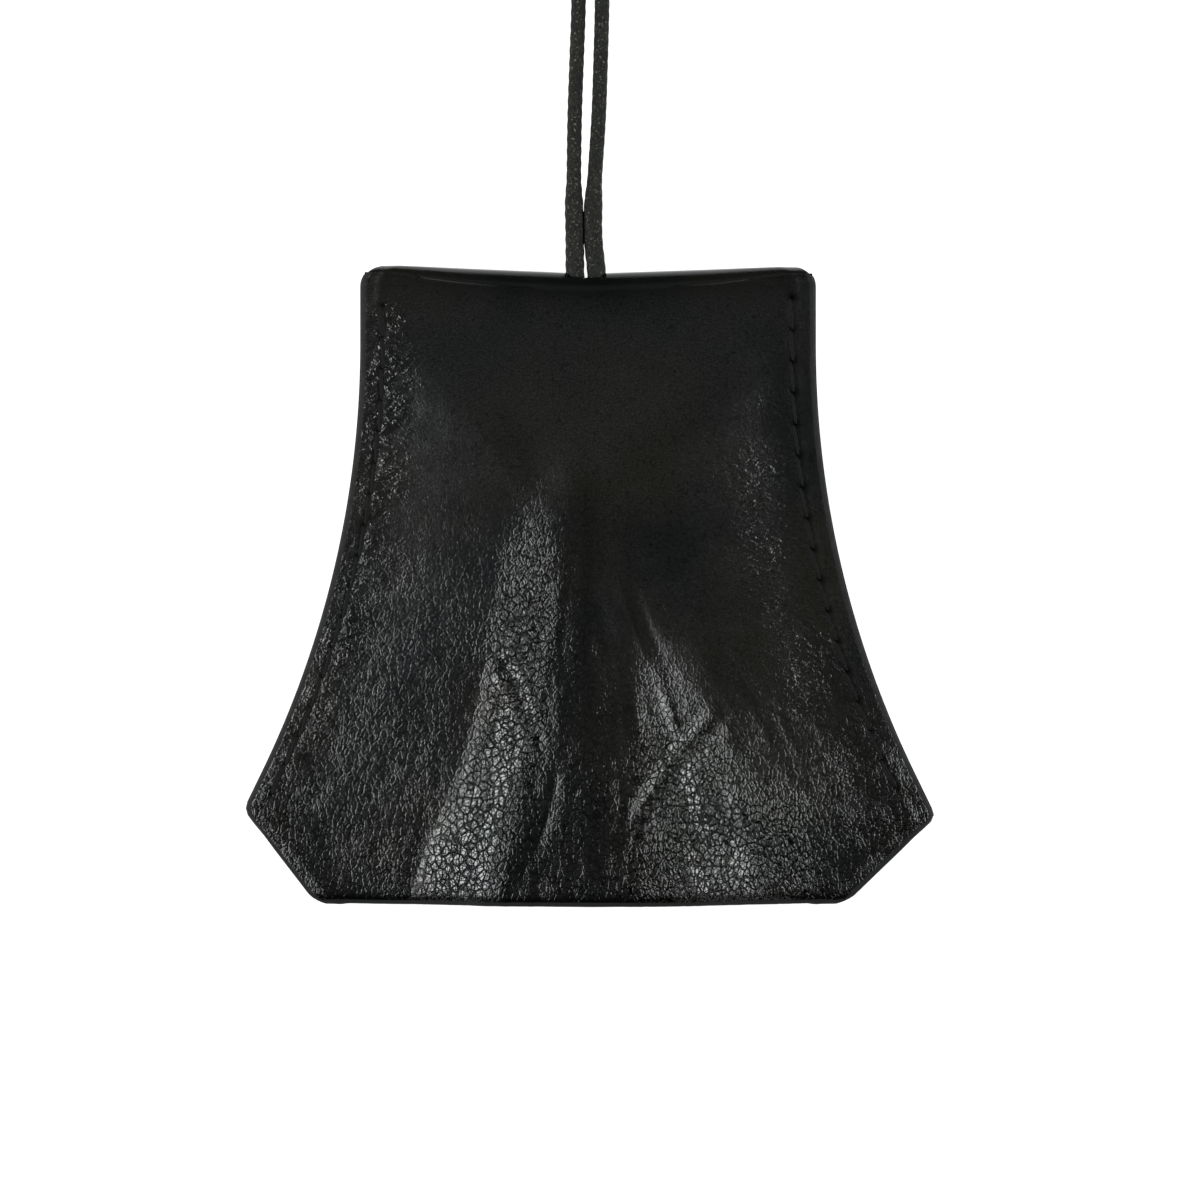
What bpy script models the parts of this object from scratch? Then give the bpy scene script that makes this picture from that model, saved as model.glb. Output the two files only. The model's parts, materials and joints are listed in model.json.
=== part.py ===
"""A bell-shaped leather neck pouch on its cord, lying on its back.

X runs across the pouch. Y runs along it, with the cord at +Y and the open mouth at -Y. Z points up
out of the front. The origin lies under the middle of the leather, on the surface that it rests on.
"""

import math

import bmesh
import bpy
from mathutils import Matrix, Vector

# Leather: one hide blank, folded over at the top. Heights are those of the middle of the hide.
HIDE = 0.0012
HALF_LENGTH = 0.0405
TOP_HALF_WIDTH = 0.0289
TOP_CORNER_RADIUS = 0.0018
FLARE_TOP = 0.0306
FLARE_END = -0.0240
FLARE_RADIUS = 0.125
SKIRT_CORNER = -0.0282
HEM_HALF_WIDTH = 0.0332
SKIRT_ROWS = (-0.0340, -0.0373)
PANEL_GAP = 0.0003
BACK_REST = HIDE / 2
BACK_LIFT = 0.0008
BACK_LIFT_STARTS = 0.6
SEAM_FRONT = BACK_REST + BACK_LIFT + HIDE + PANEL_GAP
FOLD_STEPS = 8
FOLD_Y = HALF_LENGTH - TOP_CORNER_RADIUS
TOP_DIP = 0.0014

# Front panel: a pillow between the seams, and a ridge from over the knot down to the mouth.
PILLOW_AT_FOLD = 0.0015
PILLOW_FULL = 0.0042
PILLOW_FULL_Y = 0.008
PILLOW_POWER = 1.3
RIDGE_STARTS_Y = 0.026
RIDGE_APEX_Y = 0.015
RIDGE_AT_APEX = 0.0018
RIDGE_AT_MOUTH = 0.0032
RIDGE_WIDTH_AT_APEX = 0.0055
RIDGE_WIDTH_AT_MOUTH = 0.0080

# Seams
SEAM_INSET = 0.0029
SEAM_TOP = 0.0355
SEAM_END = -0.0300
STITCH_PITCH = 0.0040
STITCH_HOLE = 0.0012
THREAD_WIDTH = 0.0005
THREAD_HEIGHT = 0.00045
THREAD_GAP = 0.0003
SLOPE_STEP = 0.0001

# Slit in the fold, and the spread of the grid lines between it and the seams
SLIT_HALF_WIDTH = 0.0031
GRID_SHARES = (0.22, 0.46, 0.72)

# Cord
CORD = 0.0019
CORD_LEVEL = 0.0025
STRAND_SPACING = 0.0030
LOOP_SPACING = 0.0015
KNOT_CENTRE = (0.0, 0.0140, 0.0039)
KNOT_RADII = (0.0038, 0.0040, 0.0024)
COIL_CENTRE_Y = 0.1100
COIL_OUTER_TURN = 0.0160
COIL_INNER_TURN = 0.0060
COIL_HEIGHT = 0.0039
COIL_CLEARANCE = 0.00005
COIL_CHAMFER = CORD / 4
COIL_SIDES = 32

# The two strands, from the knot through the slit to the coil
LEFT_STRAND = (
    (-0.00110, 0.0182, 0.0025),
    (-0.00130, 0.0240, 0.0025),
    (-0.00150, 0.0310, 0.0025),
    (-0.00165, 0.0390, 0.0025),
    (-0.00170, 0.0450, 0.0025),
    (-0.00180, 0.0500, 0.0025),
    (-0.00170, 0.0590, 0.0025),
    (-0.00145, 0.0665, 0.0025),
    (-0.00120, 0.0740, 0.0025),
    (-0.00125, 0.0820, 0.0025),
    (-0.00150, 0.0870, 0.0024),
    (-0.00185, 0.0900, 0.0021),
    (-0.00257, 0.0920, 0.0018),
)
RIGHT_STRAND = (
    (0.00110, 0.0182, 0.0025),
    (0.00120, 0.0240, 0.0025),
    (0.00125, 0.0310, 0.0025),
    (0.00110, 0.0390, 0.0025),
    (0.00065, 0.0440, 0.0025),
    (0.00070, 0.0490, 0.0025),
    (0.00133, 0.0590, 0.0025),
    (0.00160, 0.0665, 0.0025),
    (0.00178, 0.0740, 0.0025),
    (0.00170, 0.0820, 0.0025),
    (0.00165, 0.0870, 0.0025),
    (0.00195, 0.0900, 0.0026),
    (0.00257, 0.0920, 0.0027),
)

# The bight under the knot: below the ring's wire, up through the ring, and back above the wire
RING_LOOP = (
    (-0.0009, 0.00975, 0.00290),
    (-0.0008, 0.00750, 0.00260),
    (-0.0005, 0.00500, 0.00250),
    (-0.0002, 0.00260, 0.00270),
    (0.0000, 0.00090, 0.00350),
    (0.0000, 0.00020, 0.00480),
    (0.0000, 0.00090, 0.00610),
    (0.0002, 0.00260, 0.00695),
    (0.0005, 0.00500, 0.00705),
    (0.0008, 0.00750, 0.00630),
    (0.0009, 0.00975, 0.00500),
)

# Split ring: it hangs from its hinge point on the loop, and its far side rests on the back panel
RING_HINGE = (0.0, 0.0032, 0.0048)
RING_OUTER = 0.0100
RING_INNER = 0.0082
RING_THICKNESS = 0.0020
RING_CHAMFER = RING_THICKNESS / 5
RING_TILT = math.radians(6.9)
RING_SIDES = 40


def clear_scene():
    for obj in list(bpy.data.objects):
        bpy.data.objects.remove(obj, do_unlink=True)


def material(name, colour, roughness, metallic=0.0):
    made = bpy.data.materials.new(name)
    made.use_nodes = True
    shader = made.node_tree.nodes["Principled BSDF"]
    shader.inputs["Base Color"].default_value = (*colour, 1.0)
    shader.inputs["Roughness"].default_value = roughness
    shader.inputs["Metallic"].default_value = metallic
    return made


def new_object(name, mesh, surface):
    obj = bpy.data.objects.new(name, mesh)
    bpy.context.scene.collection.objects.link(obj)
    mesh.materials.append(surface)
    return obj


def mesh_from(name, bm):
    """Turn a bmesh into a mesh whose faces point outwards."""
    bmesh.ops.recalc_face_normals(bm, faces=bm.faces)
    mesh = bpy.data.meshes.new(name)
    bm.to_mesh(mesh)
    bm.free()
    return mesh


def ease(value, start, end):
    """0 at start, 1 at end, and smooth between them."""
    share = min(max((value - start) / (end - start), 0.0), 1.0)
    return share * share * (3 - 2 * share)


def mix(first, second, share):
    return first + (second - first) * share


# Outline of the bell


def flared_half_width(y):
    """Half the width of the bell at y, before its corners are cut: straight, an arc, then straight."""
    reach = FLARE_TOP - FLARE_END
    drop = min(max(FLARE_TOP - y, 0.0), reach)
    arc = FLARE_RADIUS - math.sqrt(FLARE_RADIUS**2 - drop**2)
    slope = reach / math.sqrt(FLARE_RADIUS**2 - reach**2)
    return TOP_HALF_WIDTH + arc + slope * max(FLARE_END - y, 0.0)


def half_width(y):
    """Half the width of the bell at y, with its rounded top corners and its cut bottom corners."""
    if y < SKIRT_CORNER:
        share = (y + HALF_LENGTH) / (SKIRT_CORNER + HALF_LENGTH)
        return mix(HEM_HALF_WIDTH, flared_half_width(SKIRT_CORNER), share)
    above = max(y - FOLD_Y, 0.0)
    rounding = TOP_CORNER_RADIUS - math.sqrt(TOP_CORNER_RADIUS**2 - above**2)
    return flared_half_width(y) - rounding


def column_offsets(y):
    """X of the grid lines from the middle to the right edge, with the stitch holes' strip near it."""
    edge = half_width(y)
    seam = edge - SEAM_INSET
    inner = seam - STITCH_HOLE / 2
    spread = [mix(SLIT_HALF_WIDTH, inner, share) for share in GRID_SHARES]
    return [0.0, SLIT_HALF_WIDTH, *spread, inner, seam + STITCH_HOLE / 2, edge]


def columns(y):
    right = column_offsets(y)
    return [-x for x in right[:0:-1]] + right


def across(x, y):
    """How far x is from the middle to a seam's inner side: 0 to 1, and 1 beyond it."""
    return min(abs(x) / (half_width(y) - SEAM_INSET - STITCH_HOLE / 2), 1.0)


# Heights of the two panels


def back_height(x, y):
    return BACK_REST + BACK_LIFT * ease(across(x, y), BACK_LIFT_STARTS, 1.0)


def front_height(x, y):
    pillow = mix(PILLOW_AT_FOLD, PILLOW_FULL, ease(y, HALF_LENGTH, PILLOW_FULL_Y))
    pillow *= (1 - across(x, y) ** 2) ** PILLOW_POWER
    down = min(max((RIDGE_APEX_Y - y) / (RIDGE_APEX_Y + HALF_LENGTH), 0.0), 1.0)
    ridge = mix(RIDGE_AT_APEX, RIDGE_AT_MOUTH, down) * ease(y, RIDGE_STARTS_Y, RIDGE_APEX_Y)
    ridge_width = mix(RIDGE_WIDTH_AT_APEX, RIDGE_WIDTH_AT_MOUTH, down)
    return SEAM_FRONT + pillow + ridge * math.exp(-((x / ridge_width) ** 2))


def fold_point(x, angle):
    """A point of the fold over the back at x: angle runs from the back panel to the front panel."""
    side = across(x, FOLD_Y)
    low = back_height(x, FOLD_Y)
    high = SEAM_FRONT + PILLOW_AT_FOLD * (1 - side**2) ** PILLOW_POWER
    radius = (high - low) / 2
    centre_y = HALF_LENGTH - HIDE / 2 - radius - TOP_DIP * (1 - side)
    y = centre_y + radius * math.cos(angle)
    return Vector((x, y, low + radius + radius * math.sin(angle)))


# Seams


def stitches():
    """(x, y) of each stitch hole of the right seam, one pitch apart along it."""
    found = []
    y = SEAM_TOP
    while y > SEAM_END:
        found.append((half_width(y) - SEAM_INSET, y))
        slope = (half_width(y - SLOPE_STEP) - half_width(y)) / SLOPE_STEP
        y -= STITCH_PITCH / math.hypot(1.0, slope)
    return found


def panel_rows():
    """Y of the panels' grid lines from the top to the hem, with two at each stitch hole."""
    rows = [SKIRT_CORNER, *SKIRT_ROWS, -HALF_LENGTH]
    for _, y in stitches():
        rows += [y + STITCH_HOLE / 2, y - STITCH_HOLE / 2]
    return sorted(rows, reverse=True)


def is_stitch_hole(high, low):
    middle = (high + low) / 2
    return any(abs(middle - y) < SLOPE_STEP for _, y in stitches())


def leather_rows():
    """The hide's points, row by row, up the back, over the fold and down the front."""
    panel = panel_rows()
    back = [[Vector((x, y, back_height(x, y))) for x in columns(y)] for y in reversed(panel)]
    front = [[Vector((x, y, front_height(x, y))) for x in columns(y)] for y in panel]
    fold = []
    for step in range(FOLD_STEPS + 1):
        angle = math.pi * (step / FOLD_STEPS - 0.5)
        corner_y = FOLD_Y + (TOP_CORNER_RADIUS - HIDE) * math.cos(angle)
        fold.append([fold_point(x, angle) for x in columns(corner_y)])
    return back, fold, front


def leather_bell(surface):
    """The hide as a sheet with its slit and stitch holes left out, then given its thickness."""
    back, fold, front = leather_rows()
    rows = back + fold + front
    bm = bmesh.new()
    grid = [[bm.verts.new(point) for point in row] for row in rows]
    last = len(grid[0]) - 2
    seam_columns = (1, last - 1)
    middle_columns = (last // 2, last // 2 + 1)
    slit_rows = range(len(back) + 1, len(back) + FOLD_STEPS - 1)
    for r, (lower, upper) in enumerate(zip(grid, grid[1:])):
        on_panel = r < len(back) - 1 or r >= len(back) + len(fold)
        holed = on_panel and is_stitch_hole(rows[r][0].y, rows[r + 1][0].y)
        for c in range(last + 1):
            if holed and c in seam_columns or r in slit_rows and c in middle_columns:
                continue
            bm.faces.new((lower[c], lower[c + 1], upper[c + 1], upper[c]))
    obj = new_object("leather_bell", mesh_from("leather_bell", bm), surface)
    obj.data.shade_smooth()
    solid = obj.modifiers.new("hide_thickness", "SOLIDIFY")
    solid.thickness = HIDE
    solid.offset = 0.0
    solid.use_even_offset = True
    return obj


def thread_stations(side):
    """Where the thread's section changes: just before and just after each stitch hole."""
    holes = [Vector((side * x, y, 0.0)) for x, y in stitches()]
    stations = []
    for i, hole in enumerate(holes):
        along = (holes[min(i + 1, len(holes) - 1)] - holes[max(i - 1, 0)]).normalized()
        outwards = Vector((-along.y, along.x, 0.0))
        for end in (-1, 1):
            stations.append((hole + along * end * THREAD_WIDTH / 2, outwards * THREAD_WIDTH / 2))
    return stations


def thread_bar(bm, stations, low, high):
    """Four corners at each station: low left, low right, high right, high left."""
    bar = []
    for place, half in stations:
        corners = ((-half, low), (half, low), (half, high), (-half, high))
        bar.append([bm.verts.new(place + offset + Vector((0, 0, z))) for offset, z in corners])
    return bar


def seam_thread(name, side, surface):
    """One saddle stitched thread: a run on the front, a run on the back, and a leg in every hole."""
    bm = bmesh.new()
    stations = thread_stations(side)
    front_low = SEAM_FRONT + HIDE / 2 + THREAD_GAP
    back_high = BACK_REST + BACK_LIFT - HIDE / 2 - THREAD_GAP
    front = thread_bar(bm, stations, front_low, front_low + THREAD_HEIGHT)
    back = thread_bar(bm, stations, back_high - THREAD_HEIGHT, back_high)
    for bar, inner_side in ((front, 0), (back, 2)):
        bm.faces.new(bar[0])
        bm.faces.new(bar[-1])
        for i, (here, there) in enumerate(zip(bar, bar[1:])):
            in_hole = i % 2 == 0
            for corner in range(4):
                if in_hole and corner == inner_side:
                    continue
                after = (corner + 1) % 4
                bm.faces.new((here[corner], here[after], there[after], there[corner]))
    for i in range(0, len(stations), 2):
        top = (front[i][0], front[i][1], front[i + 1][1], front[i + 1][0])
        foot = (back[i][3], back[i][2], back[i + 1][2], back[i + 1][3])
        for a in range(4):
            b = (a + 1) % 4
            bm.faces.new((top[a], top[b], foot[b], foot[a]))
    return new_object(name, mesh_from(name, bm), surface)


# Cord and ring


def smooth_route(points, spacing):
    """Points about one spacing apart on a smooth curve through the given points."""
    route = [Vector(point) for point in points]
    ends = [2 * route[0] - route[1], *route, 2 * route[-1] - route[-2]]
    found = []
    for before, start, end, after in zip(ends, ends[1:], ends[2:], ends[3:]):
        steps = max(round((end - start).length / spacing), 1)
        for step in range(steps):
            t = step / steps
            bend = 2 * start + (end - before) * t
            bend += (2 * before - 5 * start + 4 * end - after) * t * t
            bend += (3 * start - before - 3 * end + after) * t**3
            found.append(bend / 2)
    return [*found, route[-1]]


def cord_tube(name, points, spacing, surface):
    curve = bpy.data.curves.new(name, "CURVE")
    curve.dimensions = "3D"
    curve.bevel_depth = CORD / 2
    curve.bevel_resolution = 2
    curve.use_fill_caps = True
    route = smooth_route(points, spacing)
    spline = curve.splines.new("POLY")
    spline.points.add(len(route) - 1)
    for point, place in zip(spline.points, route):
        point.co = (*place, 1.0)
    return new_object(name, curve, surface)


def turned_ring(name, profile, sides, surface, centre):
    """A closed profile of (radius, height) points, turned about the vertical through the centre."""
    bm = bmesh.new()
    rings = []
    for side in range(sides):
        angle = 2 * math.pi * side / sides
        turn = Matrix.Rotation(angle, 3, "Z")
        rings.append([bm.verts.new(turn @ Vector((radius, 0, z)) + centre) for radius, z in profile])
    for here, there in zip(rings, rings[1:] + rings[:1]):
        for p in range(len(profile)):
            after = (p + 1) % len(profile)
            bm.faces.new((here[p], here[after], there[after], there[p]))
    obj = new_object(name, mesh_from(name, bm), surface)
    obj.data.shade_smooth()
    return obj


def chamfered_section(inner, outer, low, high, cut):
    """An oblong section with its four corners cut off."""
    return (
        (inner + cut, low),
        (outer - cut, low),
        (outer, low + cut),
        (outer, high - cut),
        (outer - cut, high),
        (inner + cut, high),
        (inner, high - cut),
        (inner, low + cut),
    )


def cord_coil(surface):
    """The outer shape of the wound length: flat turns in two layers."""
    reach = CORD / 2 + COIL_CLEARANCE
    inner = COIL_INNER_TURN - reach
    outer = COIL_OUTER_TURN + reach
    section = chamfered_section(inner, outer, 0.0, COIL_HEIGHT, COIL_CHAMFER)
    return turned_ring("cord_coil", section, COIL_SIDES, surface, Vector((0, COIL_CENTRE_Y, 0)))


def cord_knot(surface):
    bm = bmesh.new()
    size = Matrix.Diagonal((*KNOT_RADII, 1.0))
    place = Matrix.Translation(KNOT_CENTRE) @ size
    bmesh.ops.create_uvsphere(bm, u_segments=16, v_segments=10, radius=1.0, matrix=place)
    obj = new_object("cord_knot", mesh_from("cord_knot", bm), surface)
    obj.data.shade_smooth()
    return obj


def split_key_ring(surface):
    """The ring's outer shape, with its origin on the axis that it swings about."""
    half = RING_THICKNESS / 2
    section = chamfered_section(RING_INNER, RING_OUTER, -half, half, RING_CHAMFER)
    mean_radius = (RING_INNER + RING_OUTER) / 2
    centre = Vector((0, -mean_radius, 0))
    obj = turned_ring("split_key_ring", section, RING_SIDES, surface, centre)
    obj.location = RING_HINGE
    obj.rotation_euler.x = RING_TILT
    return obj


def carrier(name, place, children):
    """An empty on a joint's axis, which holds the pieces that move there."""
    empty = bpy.data.objects.new(name, None)
    bpy.context.scene.collection.objects.link(empty)
    empty.location = place
    for child in children:
        child.parent = empty
        child.matrix_parent_inverse = Matrix.Translation(-Vector(place))


def main():
    clear_scene()
    black_leather = material("black_leather", (0.012, 0.012, 0.012), 0.35)
    black_thread = material("black_thread", (0.010, 0.010, 0.010), 0.6)
    waxed_cord = material("waxed_cord", (0.022, 0.024, 0.018), 0.6)
    plated_steel = material("plated_steel", (0.60, 0.60, 0.58), 0.25, 1.0)

    leather_bell(black_leather)
    seam_thread("seam_thread_left", -1, black_thread)
    seam_thread("seam_thread_right", 1, black_thread)

    on_cord = (
        cord_tube("cord_strand_left", LEFT_STRAND, STRAND_SPACING, waxed_cord),
        cord_tube("cord_strand_right", RIGHT_STRAND, STRAND_SPACING, waxed_cord),
        cord_coil(waxed_cord),
        cord_knot(waxed_cord),
        cord_tube("cord_ring_loop", RING_LOOP, LOOP_SPACING, waxed_cord),
        split_key_ring(plated_steel),
    )
    carrier("cord_slide_axis", (0.0, HALF_LENGTH, CORD_LEVEL), on_cord)


main()
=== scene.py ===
"""The looks of a bell-shaped leather neck pouch on its cord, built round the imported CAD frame.

The pouch lies on its back on a white sweep: X across, Y towards the cord, Z up out of the front.
Everything is in metres. The camera looks straight down.
"""

import json
import math

import bpy
import numpy as np
from mathutils import Matrix, Vector


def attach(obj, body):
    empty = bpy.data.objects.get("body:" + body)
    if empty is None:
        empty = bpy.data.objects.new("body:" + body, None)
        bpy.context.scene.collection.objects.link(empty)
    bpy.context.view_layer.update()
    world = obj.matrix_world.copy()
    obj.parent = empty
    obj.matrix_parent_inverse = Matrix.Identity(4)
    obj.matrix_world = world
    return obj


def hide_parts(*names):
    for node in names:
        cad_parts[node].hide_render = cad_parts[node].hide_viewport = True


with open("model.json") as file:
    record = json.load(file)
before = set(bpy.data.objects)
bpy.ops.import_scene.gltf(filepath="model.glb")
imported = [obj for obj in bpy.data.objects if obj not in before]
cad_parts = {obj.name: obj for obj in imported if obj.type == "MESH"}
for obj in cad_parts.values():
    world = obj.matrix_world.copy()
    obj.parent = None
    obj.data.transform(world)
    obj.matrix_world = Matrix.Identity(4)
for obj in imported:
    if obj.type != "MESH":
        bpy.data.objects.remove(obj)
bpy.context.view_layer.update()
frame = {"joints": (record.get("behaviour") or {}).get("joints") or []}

# Size of the hide. In each pair, -1 is the left side and 1 the right one.
HALF_LENGTH = 0.0405
HIDE = 0.0012
HALF_HIDE = HIDE / 2
TOP_HALF_WIDTH = 0.0289
TOP_CORNER_RADIUS = 0.0027
TOP_CORNER_ARC = 0.97
FLARE_TOP = 0.0306
FLARE_END = -0.0240
FLARE_RADIUS = 0.125
SKIRT_CORNER = {-1: -0.0287, 1: -0.0296}
HEM_HALF_WIDTH = {-1: 0.0345, 1: 0.0327}
CORNER_BLEND = 0.0012
HEM_CORNER_CUT = 0.0016
HEM_CORNER_REACH = 0.0016

# Heights of the middle of the hide
BACK_REST = HALF_HIDE
BACK_LIFT = 0.0008
LIFT_STARTS = 0.6
GLUE_LINE = 0.00004
SEAM_FRONT = BACK_REST + BACK_LIFT + HIDE + GLUE_LINE
FOLD_RISE, FOLD_RISE_POWER = 0.0017, 1.3
TOP_DIP = 0.0010
TOP_SLOPE = -0.0066
FRONT_RISE = 0.0054
FRONT_POWER = 1.2
TOP_FACET_SLOPE = 0.235
TOP_FACET_EASE = 0.0090
FACET_BLEND = 0.0012
FRONT_LIFT = 0.0002
SEAM_FILLET = 0.0012
MARGIN_ROLL, MARGIN_ROLL_EASE = 0.16, 0.001
HEM_ROLL = 0.00045
HEM_ROLL_STARTS = -0.0386
SEAM_OPENING = 0.0007
SEAM_OPENS_BELOW = -0.031
# Low hills beside the ridge: centre, half widths and height
BULGES = (
    ((0.013, -0.034), (0.011, 0.013), 0.0011),
    ((-0.013, -0.033), (0.006, 0.009), 0.0004),
)

# The ridge over the knot and down to the mouth. From its apex down, its crest and the foot of each
# flank spread sideways: each has an offset at the apex and a slope, first left, then right.
APEX = (-0.0010, 0.0164)
KNOT_BUMP = 0.0004
KNOT_BUMP_WIDTH = 0.0034
KNOT_BUMP_BELOW_APEX = 0.002
KNOT_BUMP_STRETCH = 1.3
RIDGE_AT_MOUTH = 0.0030
RIDGE_LENGTH = 0.044
RIDGE_EASE = 0.016
CREST_OFFSET = {-1: 0.0013, 1: 0.0038}
CREST_SLOPE = {-1: 0.02, 1: 0.04}
FOOT_OFFSET = {-1: 0.0085, 1: 0.0080}
FOOT_SLOPE = {-1: 0.15, 1: 0.31}
BEND_STARTS, BEND_ENDS = 0.030, 0.057
CREST_BEND = {-1: 0.0065, 1: 0.0010}
FOOT_BEND = {-1: 0.0045, 1: 0.0}
RIGHT_GROWS_LATER = 0.85
RIGHT_CATCHES_UP = (0.040, 0.004)
RIDGE_SIDE_BLEND = 0.006
RIDGE_TOP_BLEND = 0.004

# Long creases in the front panel: each runs through its points, with a depth and a half width
CREASES = (
    (
        ((0.0155, -0.0165), (0.0110, -0.0218), (0.0066, -0.0278), (0.0037, -0.0350)),
        0.00040,
        0.0008,
    ),
    (((-0.0112, -0.0085), (-0.0085, -0.0140), (-0.0058, -0.0205)), 0.00030, 0.0007),
    (((-0.0036, -0.0215), (-0.0048, -0.0290), (-0.0086, -0.0385)), 0.00016, 0.0007),
)
CREASE_WANDER, CREASE_WANDER_SCALE = 0.3, 400
CREASE_ENDS, CREASE_TAPER = 0.02, 0.6
CREASE_LIP, CREASE_LIP_OFFSET = 0.45, 1.8
CREASE_CORE = 0.6

# Fine folds. Scales are steps of noise to a metre, or to a radian round the apex.
NOISE_CELLS = 256
# Rays: steps to a radian and to a metre, height, where in the noise they start, and seed
RAYS = ((24, 90, 0.00016, 40, 3), (52, 170, 0.00007, 80, 4))
RAYS_FADE_IN = (0.010, -0.022)
RAYS_ON_CREST, CREST_ANGLES = 0.35, (0.02, 0.12)
RAYS_LOST_BESIDE, BESIDE_ANGLES = 0.9, (0.30, 0.50)
RAYS_BEGIN = 0.012
DIAGONAL_TURN, DIAGONAL_SCALES, DIAGONAL_DEPTH = math.radians(27), (800, 300), 0.00005
DIAGONAL_LEVELS = (0.1, 0.8)
DIAGONALS_ACROSS, DIAGONALS_DOWN = (0.002, 0.010), (-0.004, -0.018)
PUCKER_TURN, PUCKER_SCALES, PUCKER_HEIGHT = math.radians(28), (420, 1150), 0.000065
SLACK_SCALE, SLACK_HEIGHT, SLACK_FADE = 110, 0.00002, (0.034, 0.010)

# Seams
SEAM_INSET_TOP = {-1: 0.0029, 1: 0.0031}
SEAM_INSET_HEM = {-1: 0.0026, 1: 0.0034}
SEAM_TOP_Y = {-1: 0.0353, 1: 0.0363}
SEAM_END_Y = {-1: -0.0292, 1: -0.0262}
STITCH_PITCH = 0.0040
GROOVE_DEPTH = {-1: 0.00005, 1: 0.00004}
GROOVE_WIDTH = 0.00060
GROOVE_LOW_END, GROOVE_HIGH_END = (-0.0015, 0.0005), (-0.0003, 0.0012)
BACK_GROOVE_SHARE = 0.8
HOLE_DEPTH = 0.00006
HOLE_RADIUS = 0.00045
HOLE_SHADOW = {-1: 0.0005, 1: 0.0007}
THREAD_RADIUS = 0.00030
THREAD_RISE = {-1: 0.00022, 1: 0.00012}
THREAD_SUNK = 0.00030
THREAD_SIDES, THREAD_SPACING = 10, 0.00025
THREAD_SLANT, THREAD_UNEVEN = 0.00016, 0.00003
THREAD_PLY, THREAD_PLY_PITCH = 0.10, 0.0011
BACK_STITCH_SHIFT = 0.00036
STITCH_POINTS = 11
# The puckered band along each seam: how far in its middle is, its width and its fade down the seam
BAND_INSET = {-1: 0.0009, 1: 0.0050}
BAND_WIDTH = {-1: 0.0030, 1: 0.0050}
BAND_FADE = {-1: (-0.034, -0.012), 1: (0.030, 0.008)}
BAND_ABOVE_HEM, BAND_BELOW_FOLD = (-0.0400, -0.0350), (0.0375, 0.0340)

# How deep the grain is. Each pair is where a fade is 0 and where it is 1.
PATCH_SCALE = 260
GRAIN_STARTS, GRAIN_START_SIDES, GRAIN_FADE = (0.016, -0.003), (-0.002, 0.004), 0.026
GRAIN_EVERYWHERE, GRAIN_LOW_DOWN, LOW_DOWN = 0.015, 0.10, (-0.012, -0.034)
GRAIN_ON_RIDGE, GRAIN_ON_FLANKS, FLANK_POWER = 0.20, 0.76, 0.7
GRAIN_LOW_RIGHT, LOW_RIGHT_DOWN = 0.80, (-0.018, -0.033)
LOW_RIGHT_STARTS, LOW_RIGHT_ENDS = (0.002, 0.008), (0.036, 0.022)
CREASES_LOW_LEFT, LOW_LEFT_ACROSS, LOW_LEFT_DOWN = 0.4, (0.010, 0.020), (-0.016, -0.030)
# Patches: the mean of a mask and how much it varies
GRAIN_PATCHES, PUCKER_PATCHES, CREASE_PATCHES = (1, 0.3), (0.75, 0.4), (0.65, 0.5)
# Painted shade: how dark crease cores, the hem and the fold are painted, more where the cord
# crosses the fold, and where the hem and fold shade fade in
CREASE_SHADE_PAINTED = 0.6
HEM_SHADE_PAINTED, HEM_SHADE_PAINTED_FADE = 0.85, (-0.0385, -0.0396)
FOLD_SHADE_PAINTED, CORD_SHADOW_PAINTED, CORD_SHADOW_PAINTED_WIDTH = 0.18, 0.32, 0.015
FOLD_SHADE_PAINTED_FADE = (0.0345, 0.0385)

# Slit in the fold
SLIT_LEFT, SLIT_RIGHT = -0.0028, 0.0022
SLIT_ANGLES = (math.radians(-50), math.radians(45))

# Grid of the hide
EDGE_STEPS = (0.0, 0.00005, 0.00012, 0.00022, 0.00036, 0.00055, 0.0008, 0.0011, 0.00145)
SEAM_ZONE_END = 0.0052
SEAM_ZONE_COLUMNS = 13
MIDDLE_COLUMNS = 132
FRONT_ROWS = 205
BACK_ROWS = 90
TOP_ZONE_ROWS = 30
TOP_ZONE_END = 0.0330
TOP_ZONE_POWER = 1.6
FOLD_ROWS = 22
EDGE_ROUND = 0.00070
PAINT_WIDTH = 0.00072
SEWN_ABOVE, SEWN_BESIDE_HEM = (-0.0345, -0.0300), (-0.0004, 0.0004)
FAR_FROM_EDGE = 1.0
OUTER_SLOT, INNER_SLOT, PAINT_SLOT = 0, 1, 2

# Cord
CORD = 0.0019
COIL_CENTRE_Y = 0.1100
COIL_COLUMNS = (0.016, 0.014, 0.012, 0.010, 0.008, 0.006)
COIL_LAYERS = (0.0010, 0.0029)
COIL_POINTS_PER_TURN = 24
COIL_SHIFT_SHARE = 1 / 6
# Direction from the coil's centre to where the right strand leaves it. The left one mirrors it.
COIL_EXIT = (6.34, -14.69)
CORD_SIDES = 24
CORD_SPACING, KNOT_SPACING = 0.0003, 0.0004
PLAITS = 4
PLAIT_PITCH = 0.0016
PLAIT_HEIGHT, PLAIT_SINK = 0.03, 0.018
SLIT_SPREAD, SPREAD_STARTS, SPREAD_ENDS = 0.27, (0.030, 0.038), (0.0475, 0.052)

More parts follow.
